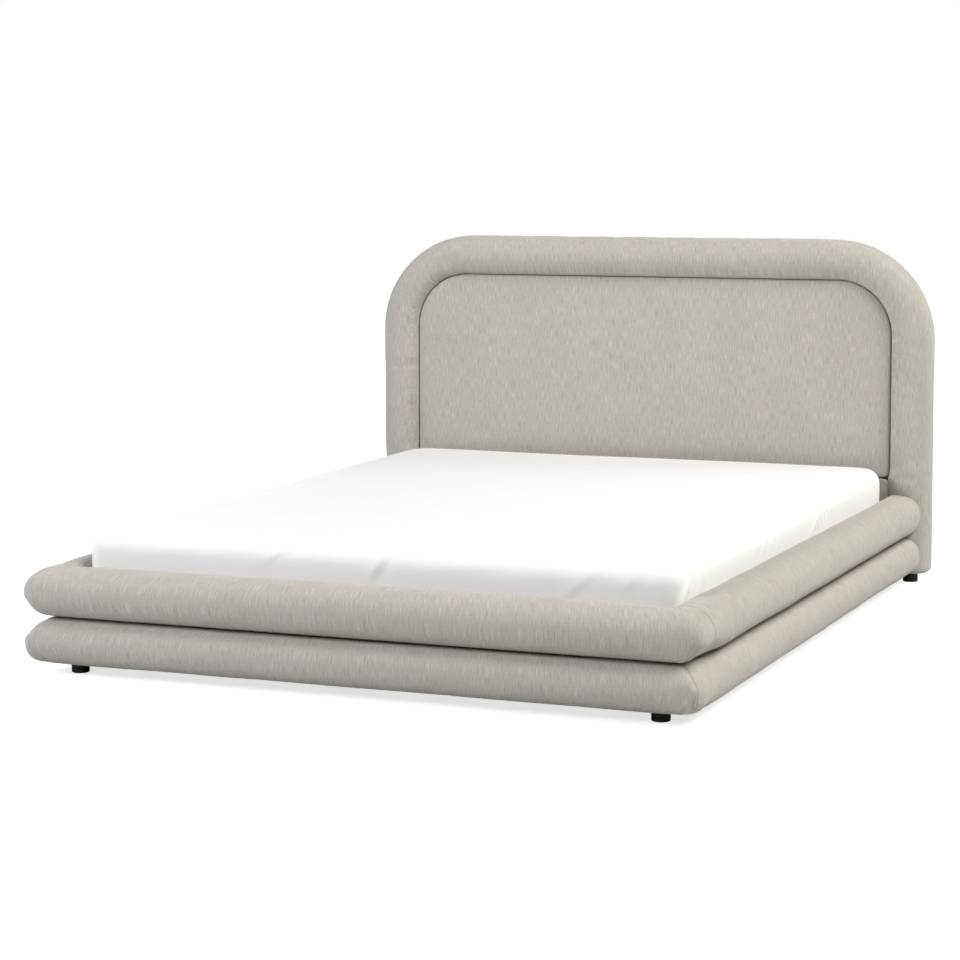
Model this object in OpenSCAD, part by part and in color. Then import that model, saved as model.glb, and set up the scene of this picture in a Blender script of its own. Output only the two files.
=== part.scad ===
// Upholstered platform bed: an arched headboard with a padded border and a flat padded
// panel, two bolster rolls stacked round the platform, a slatted base and a mattress in a
// fitted sheet. X runs across the bed, Y runs towards the headboard and Z is up.
// The origin is on the floor under the middle of the whole bed.

/* [Mattress] */
// Width of the mattress
mattress_width = 1524; // [1200:1:1930]
// Length of the mattress
mattress_length = 2032; // [1880:1:2130]
// Thickness of the mattress with its sheet
mattress_height = 205; // [150:1:260]
// Corner radius of the mattress seen from above
mattress_corner = 60; // [40:1:110]
// Radius of the mattress's soft top and bottom edges
mattress_edge = 38; // [15:1:60]
// Rise of the mattress's crowned top at its middle
mattress_crown = 9; // [2:1:20]
// Thickness of the fitted sheet
sheet_thickness = 2; // [1:0.5:3]
// Running clearance between the mattress and the side linings
mattress_side_gap = 4; // [1:1:10]
// Space between the mattress and the headboard
mattress_head_gap = 10; // [4:1:30]

/* [Rolls] */
// Height of the lower roll
lower_roll_height = 113; // [100:1:140]
// Height of the upper roll
upper_roll_height = 125; // [110:1:150]
// Half width of the lower roll's round section
lower_roll_half_width = 64; // [50:1:80]
// Half width of the upper roll's round section
upper_roll_half_width = 68; // [60:1:72]
// How far the lower roll stands out past the crease
lower_roll_overhang = 54; // [40:1:60]
// How far the upper roll stands out past the crease
upper_roll_overhang = 55; // [45:1:60]
// Foam between the crease and the rail's outer face
crease_foam = 22.5; // [15:0.5:30]
// Thickness of the covering fabric
cover_thickness = 2; // [1:0.5:3]
// Distance from the foot crease back to the seam behind each foot corner
seam_return = 50; // [30:1:90]
// How far the corner's turning axis lies inside the crease
corner_inset = 15; // [8:1:20]
// Foam over the top edge of the rails
rail_top_foam = 20; // [14:1:30]
// Clearance between the foot roll and the mattress
foot_roll_gap = 6; // [2:1:15]

/* [Rails and slats] */
// Thickness of the side and foot rails
rail_thickness = 22; // [18:1:28]
// Height of the slats' top above the floor
slat_top = 137; // [130:1:150]
// Thickness of a slat
slat_thickness = 15; // [12:1:20]
// Width of a slat
slat_width = 70; // [50:1:90]
// Number of slats
slat_count = 14; // [10:1:18]
// Clearance between a slat's end and the side rail
slat_end_gap = 8; // [3:1:12]
// Distance from the foot rail or headboard to the nearest slat
slat_margin = 50; // [35:1:90]
// Width of the ledger that carries the slats' ends
ledger_width = 30; // [20:1:45]
// Height of the ledger
ledger_height = 40; // [25:1:50]
// Width of the centre beam
beam_width = 40; // [30:1:60]
// Height of the centre beam
beam_height = 70; // [50:1:80]
// Number of legs under the centre beam
centre_leg_count = 3; // [2:1:4]
// Width of a square centre leg
centre_leg_width = 38; // [30:1:50]
// Thickness of the glide under a centre leg
glide_thickness = 12; // [8:1:18]
// Radius of the glide under a centre leg
glide_radius = 16; // [10:1:18]
// Width of the webbing that ties the slats together
strap_width = 25; // [15:1:40]
// Thickness of the webbing
strap_thickness = 1.5; // [1:0.5:2.5]

/* [Headboard] */
// How far each side of the headboard stands out past the side crease
headboard_overhang = 69.5; // [58:0.5:90]
// Height of the headboard above the floor
headboard_height = 1012; // [850:1:1300]
// Depth of the headboard from front to back
headboard_depth = 107; // [100:1:130]
// Width of the rounded border seen from the front
border_width = 120; // [110:1:140]
// Outer radius of the headboard's upper corners
headboard_corner = 300; // [200:1:330]
// Height of the panel's lower seam above the floor
panel_bottom = 306; // [290:1:340]
// Depth from the border's front to the panel's front at its edge
panel_recess = 34; // [25:1:40]
// Rise of the panel's crowned front at its middle
panel_crown = 9; // [3:1:15]
// Depth from the border's front to the apron's front
apron_recess = 12; // [6:1:18]
// Thickness of the plywood in the headboard
plywood_thickness = 12; // [9:1:18]
// Depth of the rail across the foot of the headboard
lower_rail_depth = 47; // [38:1:50]
// Width of a headboard post
post_width = 70; // [50:1:80]
// Thickness of the cloth on the headboard's back
back_cloth_thickness = 1.5; // [1:0.5:2.5]

/* [Feet and fittings] */
// Height of a foot below the upholstery
foot_height = 25; // [18:1:40]
// Radius of a foot
foot_radius = 22; // [16:1:28]
// Distance from the side crease in to a front foot's middle
front_foot_side_inset = 68; // [55:1:80]
// Distance from the foot crease back to a front foot's middle
front_foot_end_inset = 36; // [30:1:50]
// Distance from the headboard's outer side in to a rear foot's middle
rear_foot_side_inset = 52; // [45:1:60]
// Distance from the border's front back to a rear foot's middle
rear_foot_depth = 36; // [30:1:50]
// Thickness of the plates that the feet screw into
foot_plate_thickness = 18; // [12:1:24]
// Radius of a foot screw's shank
foot_screw_radius = 3; // [2:0.5:4]
// Thickness of the steel brackets
bracket_thickness = 3; // [2:0.5:5]
// Length of each wing of a corner bracket
bracket_wing = 60; // [45:1:80]
// Height of a corner bracket
bracket_height = 64; // [50:1:70]
// Radius of a headboard bolt's shank
bolt_radius = 4; // [3:0.5:5]

/* [Hidden] */

// Counts of steps round a round part, along a soft section and across a shallow crown
round_steps = 64;
section_steps = 18;
crown_steps = 10;
$fn = round_steps;
// Overrun of every cut past the face that it goes through
overrun = 1;

// Platform plan
lining_thickness = cover_thickness;
rail_inner_x = mattress_width / 2 + mattress_side_gap + lining_thickness;
rail_outer_x = rail_inner_x + rail_thickness;
crease_x = rail_outer_x + crease_foam;
foot_roll_inner = 2 * upper_roll_half_width - upper_roll_overhang;
mattress_foot_gap = foot_roll_inner + foot_roll_gap;
platform_length = mattress_foot_gap + mattress_length + mattress_head_gap;
overall_length = upper_roll_overhang + platform_length + headboard_depth;
crease_y = upper_roll_overhang - overall_length / 2;
head_y = crease_y + platform_length;
back_y = head_y + headboard_depth;
foot_rail_front = crease_y + crease_foam;
foot_rail_back = foot_rail_front + rail_thickness;
seam_y = crease_y + seam_return;
corner_x = crease_x - corner_inset;
corner_y = crease_y + corner_inset;
mitre_reach = 2 * upper_roll_overhang;
rail_inner_out = rail_inner_x - crease_x;

// Heights
crease_z = foot_height + lower_roll_height;
roll_top = crease_z + upper_roll_height;
plate_bottom = foot_height + cover_thickness;
rail_bottom = plate_bottom + foot_plate_thickness;
rail_top = roll_top - rail_top_foam;
slat_bottom = slat_top - slat_thickness;
mattress_bottom = slat_top;
mattress_top = mattress_bottom + mattress_height;

// Headboard
border_half = border_width / 2;
head_half = crease_x + headboard_overhang;
post_outer_inset = 32;
post_outer_x = head_half - post_outer_inset;
post_inner_x = post_outer_x - post_width;
panel_half = head_half - border_width;
panel_top = headboard_height - border_width;
panel_corner = headboard_corner - border_width;
border_mid_share = 0.56;
border_mid = headboard_depth * border_mid_share;
border_front_power = 2.5;
border_back_power = 7;
border_back_cover = 8;
plywood_front = head_y + headboard_depth - border_back_cover - plywood_thickness;
plywood_edge_inset = 18;
lower_rail_top = 130;
lower_rail_reach = 10;
post_top_drop = 220;
top_rail_height = 42;
top_rail_drop = 40;
top_rail_end_inset = 320;
apron_bottom = slat_top + 8;

// Feet
foot_edge = 2;
screw_head_radius = 6;
screw_head_height = 3;
screw_recess_radius = 7;
screw_recess_depth = 6;
screw_fit = 0.2;
screw_tip_gap = 4;
plate_side = 66;
plate_front_clearance = 18;
front_foot_x = crease_x - front_foot_side_inset;
front_foot_y = crease_y + front_foot_end_inset;
rear_foot_x = head_half - rear_foot_side_inset;
rear_foot_y = head_y + rear_foot_depth;
front_plate_y = foot_rail_front;

// Slat deck and centre beam
slat_half = rail_inner_x - slat_end_gap;
first_slat = foot_rail_back + slat_margin;
last_slat = head_y - slat_margin - slat_width;
slat_pitch = (last_slat - first_slat) / (slat_count - 1);
strap_place_share = 0.52;
beam_bottom = slat_bottom - beam_height;
hanger_depth = 40;
hanger_height_share = 0.85;
leg_end_share = 0.2;
glide_stem_radius = 4;
glide_stem_length = 18;
glide_stem_fit = 0.1;
ledger_end_gap = 6;

// Corner brackets and their fixings
bracket_drop = 4;
bracket_bottom = slat_bottom - bracket_height - bracket_drop;
bracket_screw_radius = 2.5;
bracket_screw_length = 17;
bracket_screw_head_radius = 4.5;
bracket_screw_head_height = 2;
fixing_rise_shares = [0.25, 0.75];
fixing_reach_share = 0.62;
bolt_head_radius = 6.5;
bolt_head_height = 5;
nut_radius = 7;
nut_height = 7;
bolt_tip = 3;
hex_sides = 6;

// Places of the four feet
FRONT_FEET = [[-front_foot_x, front_foot_y], [front_foot_x, front_foot_y]];
REAR_FEET = [[-rear_foot_x, rear_foot_y], [rear_foot_x, rear_foot_y]];
FEET = concat(FRONT_FEET, REAR_FEET);

// Colours as the fabric, wood and fittings show them
fabric_colour = [0.74, 0.72, 0.69];
foam_colour = [0.90, 0.86, 0.72];
timber_colour = [0.76, 0.60, 0.42];
plywood_colour = [0.80, 0.66, 0.47];
steel_colour = [0.62, 0.63, 0.65];
plastic_colour = [0.06, 0.06, 0.06];
webbing_colour = [0.86, 0.85, 0.80];
sheet_colour = [0.96, 0.96, 0.96];
core_colour = [0.93, 0.92, 0.88];

// Points of an elliptical arc about centre c with half axes r, from angle a to angle b
function arc_points(c, r, a, b, steps = section_steps) =
    [for (i = [0:steps]) let(t = a + (b - a) * i / steps) [c[0] + r[0] * cos(t), c[1] + r[1] * sin(t)]];

// Section of the lower roll, drawn in from its outside by inset; x is the distance past the crease
function lower_section(inset) = concat(
    arc_points(
        [lower_roll_overhang - lower_roll_half_width, foot_height + lower_roll_height / 2],
        [lower_roll_half_width - inset, lower_roll_height / 2 - inset], -90, 90),
    [[rail_inner_out, crease_z - inset], [rail_inner_out, foot_height + inset]]);

// Angle on the upper roll's section at which its inner side meets a vertical line
function upper_meeting_angle(out, inset) =
    acos((out - upper_roll_overhang + upper_roll_half_width) / (upper_roll_half_width - inset));

// Section of the upper roll along the sides: round outside and over the top, flat against the rail
function upper_section(inset) =
    let(out = rail_inner_out - lining_thickness + inset)
    concat(
        arc_points(
            [upper_roll_overhang - upper_roll_half_width, crease_z + upper_roll_height / 2],
            [upper_roll_half_width - inset, upper_roll_height / 2 - inset],
            -90, upper_meeting_angle(out, inset)),
        [[out, crease_z + inset]]);

// Section of the upper roll along the foot: a whole round
function foot_section(inset) = arc_points(
    [upper_roll_overhang - upper_roll_half_width, crease_z + upper_roll_height / 2],
    [upper_roll_half_width - inset, upper_roll_height / 2 - inset],
    -90, 270 - 360 / (2 * section_steps), 2 * section_steps - 1);

// Point on a rounded section whose corners follow the given power
function rounded(c, s, power) =
    [sign(c) * pow(abs(c), 2 / power), sign(s) * pow(abs(s), 2 / power)];

// Section of the headboard border: x runs from the inner edge out, y from the front back
function border_section(inset) =
    [for (i = [0:4 * section_steps - 1])
        let(t = 360 * i / (4 * section_steps))
        let(power = sin(t) < 0 ? border_front_power : border_back_power)
        let(p = rounded(cos(t), sin(t), power))
        let(reach = sin(t) < 0 ? border_mid : headboard_depth - border_mid)
        [border_half + p[0] * (border_half - inset), border_mid + p[1] * (reach - inset)]];

// Mirror image as well as the shape itself
module both_sides() {
    children();
    mirror([1, 0, 0]) children();
}

// Straight stretch of a section along Y, on the right-hand side
module side_run(points, from_y, to_y) {
    translate([crease_x, to_y, 0])
        rotate([90, 0, 0])
            linear_extrude(to_y - from_y) polygon(points);
}

// Straight stretch of a section along the foot, from the left corner to the right one
module foot_run(points) {
    translate([-corner_x, crease_y, 0])
        rotate([90, 0, 90])
            linear_extrude(2 * corner_x) mirror([1, 0]) polygon(points);
}

// Rounded corner of a section at the right foot end
module corner_turn(points, turn) {
    translate([corner_x, corner_y, 0])
        rotate([0, 0, -90])
            rotate_extrude(angle = turn)
                intersection() {
                    translate([corner_inset, 0]) polygon(points);
                    square([crease_x, roll_top + overrun]);
                }
}

// Outer form of the border: two legs, two corners and the top
module border_form(inset) {
    points = border_section(inset);
    top_z = headboard_height - headboard_corner;
    both_sides() {
        translate([head_half - border_width, head_y, foot_height + inset])
            linear_extrude(top_z - foot_height - inset) polygon(points);
        translate([head_half - headboard_corner, head_y, top_z])
            rotate([90, 0, 0])
                rotate_extrude(angle = 90)
                    translate([headboard_corner - border_width, 0])
                        mirror([0, 1]) polygon(points);
    }
    translate([headboard_corner - head_half, head_y, headboard_height - border_width])
        rotate([90, 0, 90])
            linear_extrude(2 * (head_half - headboard_corner))
                polygon([for (p = points) [p[1], p[0]]]);
}

// Arch outline in X and Z, with its corners rounded, drawn in by inset
module arch_outline(half, top, bottom, corner) {
    union() {
        translate([-half, bottom]) square([2 * half, top - bottom - corner]);
        translate([corner - half, bottom]) square([2 * (half - corner), top - bottom]);
        for (s = [-1, 1])
            translate([s * (half - corner), top - corner]) circle(r = corner, $fn = 4 * round_steps);
    }
}

// Slab with an outline in X and Z, from one depth to another
module upright_slab(from_y, to_y) {
    translate([0, to_y, 0])
        rotate([90, 0, 0])
            linear_extrude(to_y - from_y) children();
}

// Radius of an arc with the given rise over the given half span
function crown_radius(half_span, rise) = (half_span * half_span + rise * rise) / (2 * rise);

// Arc from the right to the left of a crowned face; its depth is nothing at the middle
function crown_arc(half_span, rise) =
    let(radius = crown_radius(half_span, rise), slope = asin(half_span / radius))
    [for (i = [0:crown_steps]) let(t = slope - 2 * slope * i / crown_steps)
        [radius * sin(t), radius - radius * cos(t)]];

// Panel's padded form, crowned towards the room, drawn in by inset
module panel_form(inset) {
    front = head_y + panel_recess - panel_crown + inset;
    rise = panel_crown / 2;
    half_height = (panel_top - panel_bottom) / 2;
    wide = crown_arc(panel_half, rise);
    tall = crown_arc(half_height, rise);
    intersection() {
        upright_slab(front, plywood_front)
            arch_outline(panel_half - inset, panel_top - inset, panel_bottom + inset,
                panel_corner - inset);
        translate([0, front, panel_bottom])
            linear_extrude(panel_top - panel_bottom)
                polygon(concat(wide,
                    [[-panel_half, plywood_front - front], [panel_half, plywood_front - front]]));
        translate([-panel_half, front, panel_bottom + half_height])
            rotate([90, 0, 90])
                linear_extrude(2 * panel_half)
                    polygon(concat([for (p = tall) [p[1], p[0]]],
                        [[plywood_front - front, -half_height], [plywood_front - front, half_height]]));
    }
}

// Apron below the panel, with a soft upper front edge, drawn in by inset
module apron_form(inset) {
    edge = panel_recess - apron_recess - inset;
    front = head_y + apron_recess + inset;
    translate([-panel_half, 0, 0])
        rotate([90, 0, 90])
            linear_extrude(2 * panel_half)
                polygon(concat(
                    [[plywood_front, apron_bottom + inset], [front, apron_bottom + inset]],
                    arc_points([front + edge, panel_bottom - edge - inset], [edge, edge], 180, 90),
                    [[plywood_front, panel_bottom - inset]]));
}

// Square cuboid from its two corners
module block(low, high) {
    translate(low) cube(high - low);
}

// Headboard timbers
module post() {
    block([post_inner_x, head_y + lower_rail_depth, rail_bottom],
        [post_outer_x, plywood_front, headboard_height - post_top_drop]);
}

module lower_rail_form() {
    half = rail_outer_x + lower_rail_reach;
    block([-half, head_y, rail_bottom], [half, head_y + lower_rail_depth, lower_rail_top]);
}

module top_rail_form() {
    half = head_half - top_rail_end_inset;
    block([-half, head_y + lower_rail_depth, headboard_height - top_rail_drop - top_rail_height],
        [half, plywood_front, headboard_height - top_rail_drop]);
}

module plywood_form() {
    upright_slab(plywood_front, plywood_front + plywood_thickness)
        arch_outline(head_half - plywood_edge_inset, headboard_height - plywood_edge_inset,
            rail_bottom, headboard_corner - plywood_edge_inset);
}

module headboard_timbers() {
    both_sides() post();
    lower_rail_form();
    top_rail_form();
    plywood_form();
    foot_plates_form();
}

module headboard_post_left() color(timber_colour) mirror([1, 0, 0]) post();

module headboard_post_right() color(timber_colour) post();

module headboard_top_rail() color(timber_colour) top_rail_form();

module headboard_lower_rail() color(timber_colour)
    difference() {
        lower_rail_form();
        bolt_holes();
    }

module headboard_plywood() color(plywood_colour) plywood_form();

module headboard_border_foam() color(foam_colour)
    difference() {
        border_form(cover_thickness);
        headboard_timbers();
    }

module headboard_border_cover() color(fabric_colour)
    difference() {
        border_form(0);
        border_form(cover_thickness);
        headboard_timbers();
        foot_screw_holes();
    }

module headboard_panel_foam() color(foam_colour) panel_form(cover_thickness);

module headboard_panel_cover() color(fabric_colour)
    difference() {
        panel_form(0);
        panel_form(cover_thickness);
    }

module headboard_apron_foam() color(foam_colour) apron_form(cover_thickness);

module headboard_apron_cover() color(fabric_colour)
    difference() {
        apron_form(0);
        apron_form(cover_thickness);
    }

module headboard_back_cloth() color(fabric_colour)
    upright_slab(plywood_front + plywood_thickness,
        plywood_front + plywood_thickness + back_cloth_thickness)
        arch_outline(panel_half, panel_top, rail_bottom, panel_corner);

// Foot and side rails
module side_rail_form() {
    block([rail_inner_x, foot_rail_back, rail_bottom], [rail_outer_x, head_y, rail_top]);
}

module foot_rail_form() {
    block([-rail_outer_x, foot_rail_front, rail_bottom], [rail_outer_x, foot_rail_back, rail_top]);
}

module rails_form() {
    foot_rail_form();
    both_sides() side_rail_form();
}

module foot_rail() color(timber_colour)
    difference() {
        foot_rail_form();
        both_sides() bracket_screw_holes();
    }

module side_rail_right_form() {
    difference() {
        side_rail_form();
        bracket_screw_holes();
    }
}

module side_rail_left() color(timber_colour) mirror([1, 0, 0]) side_rail_right_form();

module side_rail_right() color(timber_colour) side_rail_right_form();

// Bolster rolls: each has a foam body and a sewn cover over it
module foot_upper_form(inset) {
    difference() {
        union() {
            foot_run(foot_section(inset));
            both_sides() {
                corner_turn(upper_section(inset), 90);
                side_run(upper_section(inset), corner_y, seam_y);
            }
        }
        both_sides() side_roll_room();
    }
}

// Room behind the corner seam for the upper roll of the right side
module side_roll_room() {
    block([rail_inner_x - lining_thickness, seam_y, 0], [crease_x, head_y, roll_top + overrun]);
}

// Everything on the side's part of the mitre between the foot's and the right side's lower rolls
module mitre_wedge() {
    reach = mitre_reach;
    linear_extrude(roll_top)
        polygon([[crease_x + reach, crease_y - reach], [rail_inner_x, foot_rail_back],
            [rail_inner_x, back_y], [crease_x + reach, back_y]]);
}

module foot_lower_form(inset) {
    difference() {
        union() {
            foot_run(lower_section(inset));
            both_sides() corner_turn(lower_section(inset), 90);
        }
        both_sides() mitre_wedge();
    }
}

module side_upper_form(inset) {
    difference() {
        side_run(upper_section(inset), seam_y, head_y + border_mid);
        border_form(0);
        lower_rail_form();
        block([0, head_y, 0], [rail_outer_x, back_y, roll_top]);
    }
}

module side_lower_form(inset) {
    difference() {
        intersection() {
            union() {
                side_run(lower_section(inset), corner_y, head_y + border_mid);
                corner_turn(lower_section(inset), 90);
            }
            mitre_wedge();
        }
        border_form(0);
        lower_rail_form();
        block([0, head_y, 0], [rail_outer_x, back_y, roll_top]);
    }
}

module foot_upper_roll_foam() color(foam_colour)
    difference() {
        foot_upper_form(cover_thickness);
        rails_form();
    }

module foot_upper_roll_cover() color(fabric_colour)
    difference() {
        foot_upper_form(0);
        foot_upper_form(cover_thickness);
        rails_form();
    }

module foot_lower_roll_foam() color(foam_colour)
    difference() {
        foot_lower_form(cover_thickness);
        rails_form();
        foot_plates_form();
    }

module foot_lower_roll_cover() color(fabric_colour)
    difference() {
        foot_lower_form(0);
        foot_lower_form(cover_thickness);
        rails_form();
        foot_plates_form();
        foot_screw_holes();
    }

module upper_roll_foam() {
    difference() {
        side_upper_form(cover_thickness);
        rails_form();
    }
}

module upper_roll_cover() {
    difference() {
        side_upper_form(0);
        side_upper_form(cover_thickness);
        rails_form();
    }
}

module lower_roll_foam() {
    difference() {
        side_lower_form(cover_thickness);
        rails_form();
        foot_plates_form();
    }
}

module lower_roll_cover() {
    difference() {
        side_lower_form(0);
        side_lower_form(cover_thickness);
        rails_form();
        foot_plates_form();
    }
}

module left_upper_roll_foam() color(foam_colour) mirror([1, 0, 0]) upper_roll_foam();

module left_upper_roll_cover() color(fabric_colour) mirror([1, 0, 0]) upper_roll_cover();

module left_lower_roll_foam() color(foam_colour) mirror([1, 0, 0]) lower_roll_foam();

module left_lower_roll_cover() color(fabric_colour) mirror([1, 0, 0]) lower_roll_cover();

module right_upper_roll_foam() color(foam_colour) upper_roll_foam();

module right_upper_roll_cover() color(fabric_colour) upper_roll_cover();

module right_lower_roll_foam() color(foam_colour) lower_roll_foam();

module right_lower_roll_cover() color(fabric_colour) lower_roll_cover();

// Slat supports
module slat_ledger() {
    block([rail_inner_x - ledger_width, foot_rail_back + bracket_wing + ledger_end_gap,
        slat_bottom - ledger_height],
        [rail_inner_x, head_y - bracket_wing - ledger_end_gap, slat_bottom]);
}

module slat_ledger_left() color(timber_colour) mirror([1, 0, 0]) slat_ledger();

module slat_ledger_right() color(timber_colour) slat_ledger();

module centre_beam() color(timber_colour)
    block([-beam_width / 2, foot_rail_back + bracket_thickness, beam_bottom],
        [beam_width / 2, head_y - bracket_thickness, slat_bottom]);

// Steel saddle that carries one end of the centre beam; its back plate starts at y = 0
module beam_hanger() {
    half = beam_width / 2 + bracket_thickness;
    top = beam_height * hanger_height_share;
    difference() {
        block([-half, 0, -bracket_thickness], [half, hanger_depth, top]);
        block([-beam_width / 2, bracket_thickness, 0],
            [beam_width / 2, hanger_depth + overrun, top + overrun]);
    }
}

module beam_hangers() color(steel_colour) {
    translate([0, foot_rail_back, beam_bottom]) beam_hanger();
    translate([0, head_y, beam_bottom]) mirror([0, 1, 0]) beam_hanger();
}

// Places of the centre legs along the beam
function leg_place(i) =
    let(run = head_y - foot_rail_back)
    foot_rail_back + run * (leg_end_share + (1 - 2 * leg_end_share) * i / (centre_leg_count - 1));

module centre_legs() color(timber_colour)
    for (i = [0:centre_leg_count - 1])
        translate([0, leg_place(i), 0])
            difference() {
                block([-centre_leg_width / 2, -centre_leg_width / 2, glide_thickness],
                    [centre_leg_width / 2, centre_leg_width / 2, beam_bottom]);
                translate([0, 0, glide_thickness - overrun])
                    cylinder(r = glide_stem_radius + glide_stem_fit,
                        h = glide_stem_length + overrun + glide_stem_fit);
            }

module centre_leg_glides() color(plastic_colour)
    for (i = [0:centre_leg_count - 1])
        translate([0, leg_place(i), 0]) {
            cylinder(r = glide_radius, h = glide_thickness);
            cylinder(r = glide_stem_radius, h = glide_thickness + glide_stem_length);
        }

// Corner brackets: an angle of steel in each inner corner of the platform
module corner_bracket() {
    translate([rail_inner_x - bracket_wing, 0, bracket_bottom]) {
        cube([bracket_wing, bracket_thickness, bracket_height]);
        translate([bracket_wing - bracket_thickness, 0, 0])
            cube([bracket_thickness, bracket_wing, bracket_height]);
    }
}

module corner_brackets() color(steel_colour)
    difference() {
        both_sides() {
            translate([0, foot_rail_back, 0]) corner_bracket();
            translate([0, head_y, 0]) mirror([0, 1, 0]) corner_bracket();
        }
        both_sides() bracket_screw_holes();
        bolt_holes();
    }

// Screws through the brackets into the side rails and the foot rail, on the right-hand side
module bracket_screw_spots() {
    reach = bracket_wing * fixing_reach_share;
    for (share = fixing_rise_shares) {
        rise = bracket_bottom + bracket_height * share;
        for (y = [foot_rail_back + reach, head_y - reach])
            translate([rail_inner_x - bracket_thickness, y, rise]) rotate([0, 90, 0]) children();
        translate([rail_inner_x - reach, foot_rail_back + bracket_thickness, rise])
            rotate([90, 0, 0]) children();
    }
}

module bracket_screw_holes() {
    bracket_screw_spots()
        translate([0, 0, -overrun]) cylinder(r = bracket_screw_radius, h = bracket_screw_length + overrun);
}

module bracket_screws() color(steel_colour)
    both_sides() bracket_screw_spots() {
        cylinder(r = bracket_screw_radius, h = bracket_screw_length);
        translate([0, 0, -bracket_screw_head_height])
            cylinder(r = bracket_screw_head_radius, h = bracket_screw_head_height);
    }

// Bolts that hold the platform to the headboard's lower rail
module bolt_spots() {
    reach = bracket_wing * fixing_reach_share;
    both_sides()
        for (share = fixing_rise_shares)
            translate([rail_inner_x - reach, head_y - bracket_thickness,
                bracket_bottom + bracket_height * share])
                rotate([-90, 0, 0]) children();
}

bolt_grip = bracket_thickness + lower_rail_depth;

module bolt_holes() {
    bolt_spots()
        translate([0, 0, -overrun])
            cylinder(r = bolt_radius + screw_fit, h = bolt_grip + 2 * overrun);
}

module headboard_bolts() color(steel_colour)
    bolt_spots() {
        cylinder(r = bolt_radius, h = bolt_grip + nut_height + bolt_tip);
        translate([0, 0, -bolt_head_height]) cylinder(r = bolt_head_radius, h = bolt_head_height);
    }

module headboard_nuts() color(steel_colour)
    bolt_spots() translate([0, 0, bolt_grip])
        difference() {
            cylinder(r = nut_radius, h = nut_height, $fn = hex_sides);
            translate([0, 0, -overrun]) cylinder(r = bolt_radius, h = nut_height + 2 * overrun);
        }

// Plates that the feet screw into
module foot_plates_form() {
    both_sides() {
        block([rail_outer_x - plate_side - rail_thickness, front_plate_y, plate_bottom],
            [rail_outer_x, front_plate_y + plate_side, rail_bottom]);
        block([post_inner_x, head_y + plate_front_clearance, plate_bottom],
            [post_outer_x, plywood_front, rail_bottom]);
    }
}

module foot_plates() color(plywood_colour)
    difference() {
        foot_plates_form();
        foot_screw_holes();
    }

module foot_screw_holes() {
    for (place = FEET)
        translate([place[0], place[1], 0])
            cylinder(r = foot_screw_radius, h = rail_bottom - screw_tip_gap);
}

module foot_screws() color(steel_colour)
    for (place = FEET)
        translate([place[0], place[1], screw_recess_depth]) {
            cylinder(r = foot_screw_radius, h = rail_bottom - screw_tip_gap - screw_recess_depth);
            translate([0, 0, -screw_head_height])
                cylinder(r = screw_head_radius, h = screw_head_height);
        }

// Round foot with a broken lower edge and a recess for its screw
module foot_at(place) {
    translate([place[0], place[1], 0])
        difference() {
            rotate_extrude(convexity = 2)
                polygon([[0, 0], [foot_radius - foot_edge, 0], [foot_radius, foot_edge],
                    [foot_radius, foot_height], [0, foot_height]]);
            translate([0, 0, -overrun])
                cylinder(r = screw_recess_radius, h = screw_recess_depth + overrun);
            cylinder(r = foot_screw_radius, h = foot_height + overrun);
        }
}

module foot_front_left() color(plastic_colour) foot_at(FRONT_FEET[0]);

module foot_front_right() color(plastic_colour) foot_at(FRONT_FEET[1]);

module foot_rear_left() color(plastic_colour) foot_at(REAR_FEET[0]);

module foot_rear_right() color(plastic_colour) foot_at(REAR_FEET[1]);

// Slats and the webbing that keeps their spacing
module slats() color(timber_colour)
    for (i = [0:slat_count - 1])
        block([-slat_half, first_slat + i * slat_pitch, slat_bottom],
            [slat_half, first_slat + i * slat_pitch + slat_width, slat_top]);

module slat_straps() color(webbing_colour)
    both_sides()
        translate([slat_half * strap_place_share, 0, 0])
            block([-strap_width / 2, first_slat, slat_bottom - strap_thickness],
                [strap_width / 2, last_slat + slat_width, slat_bottom]);

// Mattress: a rounded slab with soft edges and a crowned top, drawn in by inset
module mattress_form(inset) {
    half_w = mattress_width / 2 - inset;
    half_l = mattress_length / 2 - inset;
    low = mattress_bottom;
    high = mattress_top - inset;
    mid_y = head_y - mattress_head_gap - mattress_length / 2;
    translate([0, mid_y, 0])
        intersection() {
            translate([0, 0, low])
                linear_extrude(high - low)
                    mattress_plan(half_w, half_l, mattress_corner - inset);
            translate([0, half_l, 0])
                rotate([90, 0, 0])
                    linear_extrude(2 * half_l) soft_profile(half_w, low, high);
            translate([-half_w, 0, 0])
                rotate([90, 0, 90])
                    linear_extrude(2 * half_w) soft_profile(half_l, low, high);
        }
}

module mattress_plan(half_w, half_l, corner) {
    square([2 * (half_w - corner), 2 * half_l], center = true);
    square([2 * half_w, 2 * (half_l - corner)], center = true);
    for (sx = [-1, 1], sy = [-1, 1])
        translate([sx * (half_w - corner), sy * (half_l - corner)]) circle(r = corner);
}

// Half-round upper edges that rise to the crown, and a flat underside
module soft_profile(half, low, high) {
    edge = mattress_edge;
    shoulder = high - mattress_crown - edge;
    rise = high - shoulder - edge;
    span = half - edge;
    radius = crown_radius(span, rise);
    slope = asin(span / radius);
    polygon(concat(
        [[-half, low], [half, low]],
        arc_points([half - edge, shoulder], [edge, edge], 0, 90 - slope, section_steps / 2),
        [for (i = [0:section_steps]) let(t = slope - 2 * slope * i / section_steps)
            [radius * sin(t), high - radius + radius * cos(t)]],
        arc_points([edge - half, shoulder], [edge, edge], 90 + slope, 180, section_steps / 2)));
}

module mattress_core() color(core_colour) mattress_form(sheet_thickness);

module fitted_sheet() color(sheet_colour)
    difference() {
        mattress_form(0);
        mattress_form(sheet_thickness);
    }

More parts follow.
